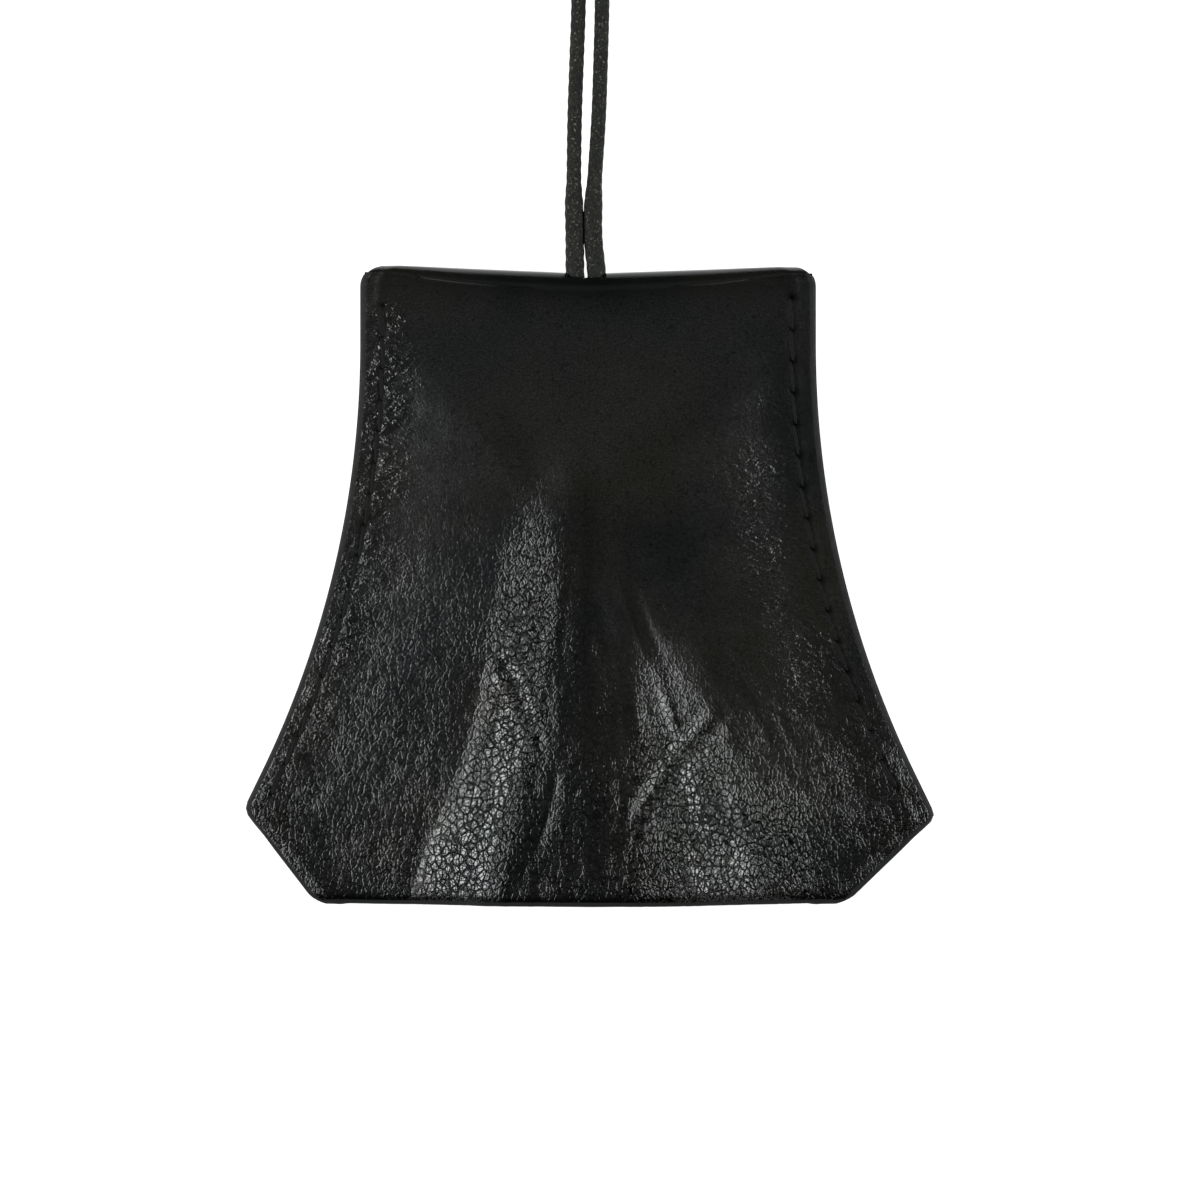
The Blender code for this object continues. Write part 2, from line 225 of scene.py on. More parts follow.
LEFT_STRAND = (
    (-0.00110, 0.0182, 0.0025),
    (-0.00130, 0.0240, 0.0025),
    (-0.00150, 0.0310, 0.0025),
    (-0.00165, 0.0390, 0.0025),
    (-0.00170, 0.0450, 0.0025),
    (-0.00180, 0.0500, 0.0025),
    (-0.00170, 0.0590, 0.0025),
    (-0.00145, 0.0665, 0.0025),
    (-0.00120, 0.0740, 0.0025),
    (-0.00125, 0.0820, 0.0025),
    (-0.00150, 0.0870, 0.0024),
    (-0.00185, 0.0900, 0.0021),
    (-0.00257, 0.0920, 0.0018),
    (-0.00384, 0.0937, 0.0014),
)
RIGHT_STRAND = (
    (0.00110, 0.0182, 0.0025),
    (0.00120, 0.0240, 0.0025),
    (0.00125, 0.0310, 0.0025),
    (0.00110, 0.0390, 0.0025),
    (0.00065, 0.0440, 0.0025),
    (0.00070, 0.0490, 0.0025),
    (0.00133, 0.0590, 0.0025),
    (0.00160, 0.0665, 0.0025),
    (0.00178, 0.0740, 0.0025),
    (0.00170, 0.0820, 0.0025),
    (0.00165, 0.0870, 0.0025),
    (0.00195, 0.0900, 0.0026),
    (0.00257, 0.0920, 0.0027),
    (0.00384, 0.0937, 0.0028),
)
RING_LOOP = (
    (-0.0009, 0.01100, 0.00330),
    (-0.0009, 0.00975, 0.00290),
    (-0.0008, 0.00750, 0.00260),
    (-0.0005, 0.00500, 0.00250),
    (-0.0002, 0.00260, 0.00270),
    (0.0000, 0.00090, 0.00350),
    (0.0000, 0.00020, 0.00480),
    (0.0000, 0.00090, 0.00610),
    (0.0002, 0.00260, 0.00695),
    (0.0005, 0.00500, 0.00705),
    (0.0008, 0.00750, 0.00630),
    (0.0009, 0.00975, 0.00500),
    (0.0009, 0.01100, 0.00450),
)
KNOT_CENTRE = Vector((0.0, 0.0140, 0.0039))
KNOT_WRAPS = 3.4
KNOT_HALF_LENGTH = 0.0030
KNOT_WIDE, KNOT_TALL = 0.00285, 0.00145
KNOT_POINTS = 110
KNOT_STRAND_OVERLAP, KNOT_CORE_PULL = 1.02, 0.3

# Split ring, on the axis of ring_swing
RING_HINGE = Vector(next(j for j in frame["joints"] if j["name"] == "ring_swing")["pos_m"])
RING_OUTER, RING_INNER = 0.0100, 0.0082
RING_TURN_HEIGHT = 0.00095
RING_TILT = math.radians(6.9)
RING_WIRE = (math.radians(8), math.radians(712))
RING_STEP = (math.radians(345), math.radians(375))
RING_POINTS = 260
RING_TURN_GAP = 1.04
WIRE_CORNER, WIRE_CORNER_TURN = 0.00018, 0.9
RING_SHARP_ANGLE = math.radians(50)

# Camera: image centre, distance above the seams, and the width of the view there
VIEW_CENTRE = (0.00152, -0.00203)
VIEW_HEIGHT = 0.6
VIEW_WIDTH = 0.1524
SENSOR = 36.0

# Stage
LIGHT_DISTANCE = 0.8
FLOOR_REACH = 3
FLOOR_DROP = 0.00003
FLOOR_TONE, FLOOR_GLOW = 0.3, 0.85
WORLD_ON_OBJECTS, WORLD_ON_CAMERA = 0.04, 1.0


# Small numeric helpers. Each takes numbers or numpy arrays.


def ease(value, start, end):
    """0 at start, 1 at end, and smooth between them."""
    share = np.clip((value - start) / (end - start), 0.0, 1.0)
    return share * share * (3 - 2 * share)


def mix(first, second, share):
    return first + (second - first) * share


def smooth_min(first, second, reach):
    """The lower of the two, rounded where they cross."""
    near = np.clip(1 - np.abs(first - second) / reach, 0.0, 1.0)
    return np.minimum(first, second) - near * near * reach / 4


def bell_curve(distance, width):
    return np.exp(-((distance / width) ** 2))


def lattice_noise(x, y, seed):
    """Smooth noise from -1 to 1, with one random value at each whole step of x and y."""
    table = np.random.default_rng(seed).uniform(-1, 1, (NOISE_CELLS, NOISE_CELLS))
    column, row = np.floor(x).astype(int), np.floor(y).astype(int)
    share_x, share_y = ease(x - column, 0, 1), ease(y - row, 0, 1)
    here, there = column % NOISE_CELLS, (column + 1) % NOISE_CELLS
    below, above = row % NOISE_CELLS, (row + 1) % NOISE_CELLS
    low = mix(table[here, below], table[there, below], share_x)
    high = mix(table[here, above], table[there, above], share_x)
    return mix(low, high, share_y)


def even_noise(x, y, scale, shift, seed):
    """lattice_noise with the same number of steps to a metre along x and y."""
    return lattice_noise(x * scale + shift, y * scale + shift, seed)


def turned_noise(x, y, angle, scales, shift, seed):
    """lattice_noise along turned axes, with its own number of steps to a metre along each."""
    u = x * math.cos(angle) + y * math.sin(angle)
    v = y * math.cos(angle) - x * math.sin(angle)
    return lattice_noise(u * scales[0] + shift, v * scales[1] + shift, seed)


# Outline of the bell


def flared_half_width(y):
    reach = FLARE_TOP - FLARE_END
    drop = np.clip(FLARE_TOP - y, 0.0, reach)
    arc = FLARE_RADIUS - np.sqrt(FLARE_RADIUS**2 - drop**2)
    slope = reach / math.sqrt(FLARE_RADIUS**2 - reach**2)
    return TOP_HALF_WIDTH + arc + slope * np.maximum(FLARE_END - y, 0.0)


def half_width(y, side):
    """Width from the middle to one edge. The top corners are round, the bottom ones cut off."""
    hem = HEM_HALF_WIDTH[side]
    corner = flared_half_width(SKIRT_CORNER[side])
    cut = mix(hem, corner, (y + HALF_LENGTH) / (SKIRT_CORNER[side] + HALF_LENGTH))
    width = smooth_min(flared_half_width(y), cut, CORNER_BLEND)
    above = np.clip(y - (HALF_LENGTH - TOP_CORNER_RADIUS), 0.0, TOP_CORNER_RADIUS * TOP_CORNER_ARC)
    width = width - (TOP_CORNER_RADIUS - np.sqrt(TOP_CORNER_RADIUS**2 - above**2))
    low = np.clip(1 - (y + HALF_LENGTH) / HEM_CORNER_REACH, 0.0, 1.0)
    return width - HEM_CORNER_CUT * low**3


def seam_inset(y, side):
    return mix(SEAM_INSET_TOP[side], SEAM_INSET_HEM[side], ease(y, FLARE_TOP, FLARE_END))


def seam_x(y, side):
    """Distance of a seam from the middle, as a positive number."""
    return half_width(y, side) - seam_inset(y, side)


def across(x, y):
    """0 in the middle, 1 at a seam and beyond it."""
    reach = np.where(x < 0, seam_x(y, -1), seam_x(y, 1))
    return np.clip(np.abs(x) / reach, 0.0, 1.0)


def stitch_holes(side):
    """(x, y) of each stitch hole, one pitch apart along the seam."""
    found = []
    y = SEAM_TOP_Y[side]
    step = 0.0001
    while y > SEAM_END_Y[side]:
        found.append((side * float(seam_x(y, side)), y))
        slope = float(seam_x(y - step, side) - seam_x(y, side)) / step
        y -= STITCH_PITCH / math.hypot(1.0, slope)
    return found


HOLES = {side: stitch_holes(side) for side in (-1, 1)}


# Heights of the hide


def fold_centre_y(x):
    """Y and radius of the fold's round at x. The top edge dips to the slit and slopes a little."""
    low, high = back_height(x, FLARE_TOP) - margin_drop(x, FLARE_TOP), fold_top(x)
    radius = (high - low) / 2
    dip = TOP_DIP * (1 - across(x, FLARE_TOP))
    slope = TOP_SLOPE * (x + TOP_HALF_WIDTH) / 2
    return HALF_LENGTH - HALF_HIDE - radius - dip + slope, radius


def back_height(x, y):
    return BACK_REST + BACK_LIFT * ease(across(x, y), LIFT_STARTS, 1.0)


def margin_drop(x, y):
    """The margins outside the seams roll down a little towards the edge."""
    outside = np.maximum(np.abs(x) - np.where(x < 0, seam_x(y, -1), seam_x(y, 1)), 0.0)
    return MARGIN_ROLL * outside * ease(outside, 0.0, MARGIN_ROLL_EASE)


def fold_top(x):
    rise = FOLD_RISE * (1 - across(x, FLARE_TOP) ** 2) ** FOLD_RISE_POWER
    return SEAM_FRONT + rise - margin_drop(x, FLARE_TOP)


def from_apex(x, y):
    """Distance from the ridge's apex, and the angle from straight down the ridge."""
    across_ridge, down = x - APEX[0], APEX[1] - y
    return np.hypot(across_ridge, down), np.arctan2(across_ridge, down)


def ridge_profile(x, y):
    """1 on the ridge's crest, 0 beyond its flanks. Also the distance down from the apex."""
    down = np.maximum(APEX[1] - y, 0.0)
    choose = lambda pair: np.where(x < APEX[0], pair[-1], pair[1])
    bend = ease(down, BEND_STARTS, BEND_ENDS)
    crest = choose(CREST_OFFSET) + choose(CREST_SLOPE) * down + choose(CREST_BEND) * bend
    foot = choose(FOOT_OFFSET) + choose(FOOT_SLOPE) * down + choose(FOOT_BEND) * bend
    return 1 - ease(np.abs(x - APEX[0]), crest, foot), down


def ridge_height(x, y):
    profile, down = ridge_profile(x, y)
    grown = down**2 / (down + RIDGE_EASE) / RIDGE_LENGTH
    later = RIGHT_GROWS_LATER * ease(x, APEX[0], APEX[0] + RIDGE_SIDE_BLEND)
    later = later * ease(down, *RIGHT_CATCHES_UP)
    return RIDGE_AT_MOUTH * grown * (1 - later) * profile


def seam_relief(x, y):
    """The groove that each seam's thread pulls into the hide, deepest at its holes."""
    total = np.zeros_like(x)
    for side in (-1, 1):
        run = np.abs(side * x - seam_x(y, side))
        inside = ease(y, *(SEAM_END_Y[side] + offset for offset in GROOVE_LOW_END))
        inside = inside * (1 - ease(y, *(SEAM_TOP_Y[side] + offset for offset in GROOVE_HIGH_END)))
        total = total - GROOVE_DEPTH[side] * bell_curve(run, GROOVE_WIDTH) * inside
        for hole_x, hole_y in HOLES[side]:
            away = np.hypot(x - hole_x, y - hole_y)
            total = total - HOLE_DEPTH * bell_curve(away, HOLE_RADIUS)
    return total


def near_seam(x, y, side):
    """1 along a seam, fading over a few millimetres: the left band is narrow, the right wide."""
    offset = side * x - seam_x(y, side) + BAND_INSET[side]
    band = bell_curve(offset, BAND_WIDTH[side]) * ease(y, *BAND_FADE[side])
    return band * ease(y, *BAND_ABOVE_HEM) * ease(y, *BAND_BELOW_FOLD)


def crease_shapes(x, y):
    """Height of the long creases, grooves between low lips, and 1 along their cores."""
    total = np.zeros_like(x)
    core = np.zeros_like(x)
    wander = 1 + CREASE_WANDER * even_noise(x, y, CREASE_WANDER_SCALE, 20, 9)
    for points, depth, width in CREASES:
        nearest = np.full_like(x, np.inf)
        travelled = np.zeros_like(x)
        run = 0.0
        for (x0, y0), (x1, y1) in zip(points, points[1:]):
            length = math.hypot(x1 - x0, y1 - y0)
            along = ((x - x0) * (x1 - x0) + (y - y0) * (y1 - y0)) / length
            along = np.clip(along, 0.0, length)
            near_x = x0 + (x1 - x0) * along / length
            near_y = y0 + (y1 - y0) * along / length
            distance = np.hypot(x - near_x, y - near_y)
            travelled = np.where(distance < nearest, run + along, travelled)
            nearest = np.minimum(distance, nearest)
            run += length
        share = np.clip(travelled / run, CREASE_ENDS, 1 - CREASE_ENDS)
        thinned = np.sin(math.pi * share) ** CREASE_TAPER
        lip = bell_curve(nearest - CREASE_LIP_OFFSET * width, width)
        groove = bell_curve(nearest, width) - CREASE_LIP * lip
        total = total - depth * groove * thinned * wander
        core = np.maximum(core, bell_curve(nearest, CREASE_CORE * width) * thinned * wander)
    return total, core


def wrinkles(x, y):
    """Long creases and fine folds: rays to the mouth, puckers by a seam, diagonals low down."""
    distance, angle = from_apex(x, y)
    rays = 0.0
    for to_radian, to_metre, height, shift, seed in RAYS:
        noise = lattice_noise(angle * to_radian + shift, distance * to_metre, seed)
        rays = rays + noise * height
    off_crest = mix(RAYS_ON_CREST, 1, ease(np.abs(angle), *CREST_ANGLES))
    near_ridge = 1 - ease(np.abs(angle), *BESIDE_ANGLES) * RAYS_LOST_BESIDE
    relief = rays * ease(y, *RAYS_FADE_IN) * off_crest * near_ridge
    relief = relief * ease(distance, 0.0, RAYS_BEGIN)
    diagonal = turned_noise(x, y, DIAGONAL_TURN, DIAGONAL_SCALES, 60, 5)
    right_low = ease(x, *DIAGONALS_ACROSS) * ease(y, *DIAGONALS_DOWN)
    relief = relief - DIAGONAL_DEPTH * ease(diagonal, *DIAGONAL_LEVELS) * right_low
    puckers = turned_noise(x, y, PUCKER_TURN, PUCKER_SCALES, 90, 6)
    relief = relief + PUCKER_HEIGHT * puckers * near_seam(x, y, -1)
    slack = even_noise(x, y, SLACK_SCALE, 50, 7) * SLACK_HEIGHT
    creases, _ = crease_shapes(x, y)
    return relief + creases + slack * ease(y, *SLACK_FADE)


def front_height(x, y):
    """The front panel: a facet from the fold to the apex, sides down to the seams, and a ridge."""
    centre_y, _ = fold_centre_y(x)
    below_fold = np.maximum(centre_y - y, 0.0)
    facet = fold_top(x) + margin_drop(x, FLARE_TOP) - SEAM_FRONT
    facet = facet + TOP_FACET_SLOPE * below_fold**2 / (below_fold + TOP_FACET_EASE)
    slope = -smooth_min(FRONT_RISE * (across(x, y) ** FRONT_POWER - 1), 0.0, SEAM_FILLET)
    height = smooth_min(facet, slope + FRONT_LIFT, FACET_BLEND) - margin_drop(x, y)
    height = height - HEM_ROLL * ease(y, HEM_ROLL_STARTS, -HALF_LENGTH) ** 2
    down = (y - APEX[1] + KNOT_BUMP_BELOW_APEX) / KNOT_BUMP_STRETCH
    knot = KNOT_BUMP * bell_curve(np.hypot(x - APEX[0], down), KNOT_BUMP_WIDTH)
    below = ease(y, APEX[1] + RIDGE_TOP_BLEND, APEX[1] - RIDGE_TOP_BLEND)
    height = height + knot + ridge_height(x, y) * below
    for (centre_x, centre_y), (reach_x, reach_y), rise in BULGES:
        away = np.hypot((x - centre_x) / reach_x, (y - centre_y) / reach_y)
        height = height + rise * bell_curve(away, 1.0)
    height = height + SEAM_OPENING * ease(y, SEAM_OPENS_BELOW, -HALF_LENGTH) * across(x, y) ** 4
    return SEAM_FRONT + height + seam_relief(x, y) + wrinkles(x, y)


def back_relief(x, y):
    return back_height(x, y) - margin_drop(x, y) - seam_relief(x, y) * BACK_GROOVE_SHARE


# Mesh building


def new_piece(name, mesh, *materials):
    obj = bpy.data.objects.new(name, mesh)
    bpy.context.scene.collection.objects.link(obj)
    for surface in materials:
        mesh.materials.append(surface)
    return obj


def mesh_of(name, points, faces):
    mesh = bpy.data.meshes.new(name)
    mesh.from_pydata(np.asarray(points).tolist(), [], faces)
    mesh.polygons.foreach_set("use_smooth", [True] * len(mesh.polygons))
    mesh.update()
    return mesh


def row_columns(left_y, right_y):
    """X of the columns in a row that ends at left_y and right_y, close together at the edges."""
    seam_zone = np.linspace(EDGE_STEPS[-1], SEAM_ZONE_END, SEAM_ZONE_COLUMNS)[1:]
    inset = np.concatenate((EDGE_STEPS, seam_zone))
    left = -half_width(left_y, -1) + inset
    right = half_width(right_y, 1) - inset[::-1]
    middle = np.linspace(left[-1], right[0], MIDDLE_COLUMNS)[1:-1]
    return np.concatenate((left, middle, right))


def panel_grid(rows):
    """(x, y) of a panel from just under the fold to the hem, as rows."""
    hem_zone = -HALF_LENGTH + np.array(EDGE_STEPS[::-1])
    long_zone = np.linspace(TOP_ZONE_END, hem_zone[0], rows)[:-1]
    levels = np.concatenate((long_zone, hem_zone))
    x = np.array([row_columns(y, y) for y in levels])
    return x, np.repeat(levels[:, None], x.shape[1], axis=1)


def top_zone(columns):
    """(x, y) of the rows between the fold's round and the first straight row."""
    centre_y, _ = fold_centre_y(columns)
    shares = np.linspace(0, 1, TOP_ZONE_ROWS)[1:-1, None] ** TOP_ZONE_POWER
    y = mix(centre_y[None, :], TOP_ZONE_END, shares)
    return np.array([row_columns(row[0], row[-1]) for row in y]), y


def hide_middle():
    """The middle of the hide: up the back, over the fold, down the front. Also its fold angles."""
    front_x, front_y = panel_grid(FRONT_ROWS)
    back_x, back_y = panel_grid(BACK_ROWS)
    columns = front_x[0]
    zone_x, zone_y = top_zone(columns)
    angles = np.linspace(-math.pi / 2, math.pi / 2, FOLD_ROWS + 1)
    centre_y, radius = fold_centre_y(columns)
    reach = centre_y + np.outer(np.cos(angles), radius + HALF_HIDE)
    fold_x = np.array([row_columns(row[0], row[-1]) for row in reach])
    fold_y = centre_y + np.outer(np.cos(angles), radius)
    fold_z = fold_top(columns) - radius + np.outer(np.sin(angles), radius)
    back = np.stack((back_x, back_y, back_relief(back_x, back_y)), axis=2)[::-1]
    back_top = np.stack((zone_x, zone_y, back_relief(zone_x, zone_y)), axis=2)[::-1]
    front_top = np.stack((zone_x, zone_y, front_height(zone_x, zone_y)), axis=2)
    front = np.stack((front_x, front_y, front_height(front_x, front_y)), axis=2)
    fold = np.stack((fold_x, fold_y, fold_z), axis=2)
    middle = np.concatenate((back, back_top, fold, front_top, front))
    first_fold = len(back) + len(back_top)
    fold_angle = np.full(len(middle), np.inf)
    fold_angle[first_fold : first_fold + len(angles)] = angles
    return middle, fold_angle


def normals_of(grid):
    along = np.gradient(grid, axis=0)
    over = np.gradient(grid, axis=1)
    normal = np.cross(along, over)
    return normal / np.linalg.norm(normal, axis=2, keepdims=True)


def edge_distance(grid):
    """Distance of each point from the side edge and from the hem, in the plane of the panel."""
    x, y = grid[..., 0], grid[..., 1]
    step, steepest = 0.0002, 1.5
    side = np.zeros_like(x)
    for which, chosen in ((-1, x < 0), (1, x >= 0)):
        slope = (half_width(y - step, which) - half_width(y + step, which)) / (2 * step)
        slope = np.clip(slope, -steepest, steepest)
        reach = (half_width(y, which) - np.abs(x)) / np.hypot(1.0, slope)
        side = np.where(chosen, reach, side)
    return side, y + HALF_LENGTH


def skins(middle, fold_angle):
    """Offsets of the outer and inner skin from the middle, and the distance from the cut edge.

    Both skins round over at the edge. Where the panels are sewn, only the outer one does.
    """
    side, hem = edge_distance(middle)
    over_fold = np.isfinite(fold_angle)[:, None]
    hem = np.where(over_fold, FAR_FROM_EDGE, hem)
    further_in = np.full(middle.shape[1] - len(EDGE_STEPS), FAR_FROM_EDGE)
    inset = np.concatenate((EDGE_STEPS, further_in))
    side = np.where(over_fold, np.minimum(inset, inset[::-1])[None, :], side)
    distance = np.minimum(side, hem)
    fullness = np.sqrt(1 - (1 - np.clip(distance / EDGE_ROUND, 0, 1)) ** 2)
    sewn = ease(middle[..., 1], *SEWN_ABOVE) * ease(hem - side, *SEWN_BESIDE_HEM)
    outer = HALF_HIDE * fullness - sewn * HALF_HIDE * (1 - fullness)
    inner = -HALF_HIDE * fullness - sewn * HALF_HIDE * (1 - fullness)
    return outer, inner, distance


def leather_mesh():
    """The hide as one closed body: two skins that meet at the cut edge and round the slit."""
    middle, fold_angle = hide_middle()
    normal = normals_of(middle)
    outer_by, inner_by, distance = skins(middle, fold_angle)
    outer = middle + normal * outer_by[..., None]
    inner = middle + normal * inner_by[..., None]
    rows, columns = distance.shape
    outer_index = np.arange(rows * columns).reshape(rows, columns)
    on_edge = np.zeros((rows, columns), bool)
    on_edge[[0, -1], :] = True
    on_edge[:, [0, -1]] = True
    inner_index = np.where(on_edge, outer_index, 0)
    inner_index[~on_edge] = rows * columns + np.arange((~on_edge).sum())
    points = np.concatenate((outer.reshape(-1, 3), inner[~on_edge]))

    x = middle[..., 0]
    in_slit = (fold_angle[:, None] > SLIT_ANGLES[0]) & (fold_angle[:, None] < SLIT_ANGLES[1])
    in_slit = in_slit & (x > SLIT_LEFT) & (x < SLIT_RIGHT)
    gone = in_slit[:-1, :-1] & in_slit[1:, :-1] & in_slit[:-1, 1:] & in_slit[1:, 1:]

    def quads(index, keep):
        corners = (index[:-1, :-1], index[1:, :-1], index[1:, 1:], index[:-1, 1:])
        return np.stack(corners, axis=2)[keep]

    outer_faces = quads(outer_index, ~gone)
    inner_faces = quads(inner_index, ~gone)[:, ::-1]
    rim = []
    hole_rows, hole_columns = np.nonzero(gone)
    for r, c in zip(hole_rows, hole_columns):
        around = (
            ((r, c), (r, c + 1), (r - 1, c)),
            ((r, c + 1), (r + 1, c + 1), (r, c + 1)),
            ((r + 1, c + 1), (r + 1, c), (r + 1, c)),
            ((r + 1, c), (r, c), (r, c - 1)),
        )
        for start, end, neighbour in around:
            if not gone[neighbour]:
                skin_to_skin = (outer_index[end], outer_index[start])
                rim.append((*skin_to_skin, inner_index[start], inner_index[end]))
    faces = np.concatenate((outer_faces, inner_faces, np.array(rim)))
    mesh = mesh_of("hide", points, faces.tolist())
    face_distance = (distance[:-1, :-1] + distance[1:, 1:]) / 2
    painted = face_distance[~gone] < PAINT_WIDTH
    skin_slots = [np.where(painted, PAINT_SLOT, slot) for slot in (OUTER_SLOT, INNER_SLOT)]
    slots = np.concatenate((*skin_slots, np.full(len(rim), PAINT_SLOT)))
    mesh.polygons.foreach_set("material_index", slots.astype(np.int32))
    for name, mask in grain_masks(middle, fold_angle).items():
        values = np.concatenate((mask.reshape(-1), np.zeros((~on_edge).sum())))
        mesh.attributes.new(name, "FLOAT", "POINT").data.foreach_set("value", values)
    return mesh


def grain_masks(middle, fold_angle):
    """From 0 to 1 over the hide: how deep its grain, puckers and creases are, and how dark its
    painted shade is.
    """
    x, y = middle[..., 0], middle[..., 1]
    off_fold = np.where(np.isfinite(fold_angle)[:, None], 0.0, 1.0)
    patches = even_noise(x, y, PATCH_SCALE, 30, 8)
    profile, _ = ridge_profile(x, y)
    flank = 4 * profile * (1 - profile)
    starts = mix(*GRAIN_STARTS, ease(x, *GRAIN_START_SIDES))
    mouth = ease(y, starts, starts - GRAIN_FADE)
    grain = GRAIN_EVERYWHERE + mouth * (GRAIN_ON_RIDGE + GRAIN_ON_FLANKS * flank**FLANK_POWER)
    grain = grain + GRAIN_LOW_DOWN * ease(y, *LOW_DOWN)
    low_right = ease(y, *LOW_RIGHT_DOWN) * ease(x, *LOW_RIGHT_STARTS) * ease(x, *LOW_RIGHT_ENDS)
    grain = np.maximum(grain, GRAIN_LOW_RIGHT * low_right)
    low_left = ease(-x, *LOW_LEFT_ACROSS) * ease(y, *LOW_LEFT_DOWN) * CREASES_LOW_LEFT
    masks = {
        "grain": (grain, GRAIN_PATCHES),
        "puckers": (near_seam(x, y, -1), PUCKER_PATCHES),
        "creases": (np.maximum(near_seam(x, y, 1), low_left), CREASE_PATCHES),
    }
    for name, (mask, (mean, varied)) in masks.items():
        masks[name] = np.clip(mask * (mean + varied * patches), 0, 1) * off_fold
    # Painted shade: crease cores, the hem, stitch holes and the fold, most under the cord, are
    # painted dark.
    _, painted_shade = crease_shapes(x, y)
    painted_shade = np.maximum(CREASE_SHADE_PAINTED * painted_shade, HEM_SHADE_PAINTED * ease(y, *HEM_SHADE_PAINTED_FADE))
    for side in (-1, 1):
        for hole_x, hole_y in HOLES[side]:
            away = np.hypot(x - hole_x, y - hole_y)
            painted_shade = np.maximum(painted_shade, bell_curve(away, HOLE_SHADOW[side]))
    painted_fold_shade = FOLD_SHADE_PAINTED + CORD_SHADOW_PAINTED * bell_curve(x, CORD_SHADOW_PAINTED_WIDTH)
    painted_shade = np.maximum(painted_shade * off_fold, painted_fold_shade * ease(y, *FOLD_SHADE_PAINTED_FADE))
    masks["painted_shade"] = np.clip(painted_shade, 0, 1)
    return masks


# Tubes


def smooth_route(points, spacing):
    """Points at most one spacing apart on a smooth curve through the given points."""
    route = np.array(points, float)
    ends = np.vstack((2 * route[0] - route[1], route, 2 * route[-1] - route[-2]))
    found = []
    for before, start, end, after in zip(ends, ends[1:], ends[2:], ends[3:]):
        steps = max(int(np.ceil(np.linalg.norm(end - start) / spacing)), 1)
        t = (np.arange(steps) / steps)[:, None]
        bend = 2 * start + (end - before) * t
        bend = bend + (2 * before - 5 * start + 4 * end - after) * t**2
        bend = bend + (3 * start - before - 3 * end + after) * t**3
        found.append(bend / 2)
    return np.vstack((*found, route[-1:]))


def tube_frames(route):
    """Two directions across the route at each point, carried along it without twist."""
    tangent = np.gradient(route, axis=0)
    tangent /= np.linalg.norm(tangent, axis=1, keepdims=True)
    side = np.cross(tangent[0], (0, 0, 1.0))
    if np.linalg.norm(side) < 0.1:
        side = np.cross(tangent[0], (0, 1.0, 0))
    sides = []
    for along in tangent:
        side = side - along * side.dot(along)
        side = side / np.linalg.norm(side)
        sides.append(side)
    sides = np.array(sides)
    return sides, np.cross(tangent, sides)


def tube(route, radius, sides, relief):
    """Points and faces of a closed round tube. radius is a number, or one for each route point.

    relief takes the angle round the tube and the distance along it, and adds to the radius.
    """
    across_a, across_b = tube_frames(route)
    angle = np.arange(sides) * 2 * math.pi / sides
    ring = across_a[:, None] * np.cos(angle)[None, :, None]
    ring = ring + across_b[:, None] * np.sin(angle)[None, :, None]
    size = np.broadcast_to(np.reshape(radius, (-1, 1)), (len(route), 1))
    run = np.concatenate(([0], np.cumsum(np.linalg.norm(np.diff(route, axis=0), axis=1))))
    size = size * (1 + relief(angle[None, :], run[:, None]))
    points = (route[:, None] + ring * size[..., None]).reshape(-1, 3)
    first = np.arange(len(route) - 1)[:, None] * sides + np.arange(sides)[None, :]
    after = np.arange(len(route) - 1)[:, None] * sides + (np.arange(sides) + 1)[None, :] % sides
    faces = np.stack((first, first + sides, after + sides, after), axis=2).reshape(-1, 4)
    caps = []
    for end, ring_start in ((0, 0), (-1, (len(route) - 1) * sides)):
        points = np.vstack((points, route[end]))
        hub = len(points) - 1
        for i in range(sides):
            here, there = ring_start + i, ring_start + (i + 1) % sides
            caps.append([here, there, hub] if end == 0 else [there, here, hub])
    return points, faces.tolist() + caps


def joined(parts):
    """Several (points, faces) bodies as one."""
    points, faces = [], []
    for some_points, some_faces in parts:
        start = sum(len(p) for p in points)
        points.append(some_points)
        faces += [[i + start for i in face] for face in some_faces]
    return np.vstack(points), faces


def braid(angle, run):
    """Relief of a round braid: two sets of plaits that wind opposite ways, over and under."""
    along = 2 * math.pi * run / PLAIT_PITCH
    one, other = np.cos(PLAITS * angle + along), np.cos(PLAITS * angle - along)
    return PLAIT_HEIGHT * np.maximum(one, other) - PLAIT_SINK


# Cord


def coil_turns():
    """The wound length, clockwise: inwards on the lower layer, and outwards on the upper one."""
    stops = [(radius, COIL_LAYERS[0]) for radius in COIL_COLUMNS]
    stops += [(radius, COIL_LAYERS[1]) for radius in COIL_COLUMNS[::-1]]
    start = math.atan2(COIL_EXIT[1], -COIL_EXIT[0])
    finish = math.atan2(COIL_EXIT[1], COIL_EXIT[0]) - 2 * math.pi * len(stops)
    leg = (finish - start) / len(stops)
    found = []
    for i, (radius, height) in enumerate(stops):
        next_radius, next_height = stops[min(i + 1, len(stops) - 1)]
        for step in range(COIL_POINTS_PER_TURN):
            share = step / COIL_POINTS_PER_TURN
            moved = float(ease(share, 1 - COIL_SHIFT_SHARE, 1.0))
            angle = start + leg * (i + share)
            reach = mix(radius, next_radius, moved)
            z = mix(height, next_height, moved)
            found.append((reach * math.cos(angle), COIL_CENTRE_Y + reach * math.sin(angle), z))
    last_radius, last_height = stops[-1]
    end = (last_radius * math.cos(finish), COIL_CENTRE_Y + last_radius * math.sin(finish))
    return [*found, (*end, last_height)]


def cord_radius(route):
    """The cord is wider where both strands pass the slit side by side."""
    y = route[:, 1]
    wide = ease(y, *SPREAD_STARTS) * (1 - ease(y, *SPREAD_ENDS))
    return CORD / 2 * (1 + SLIT_SPREAD * wide)


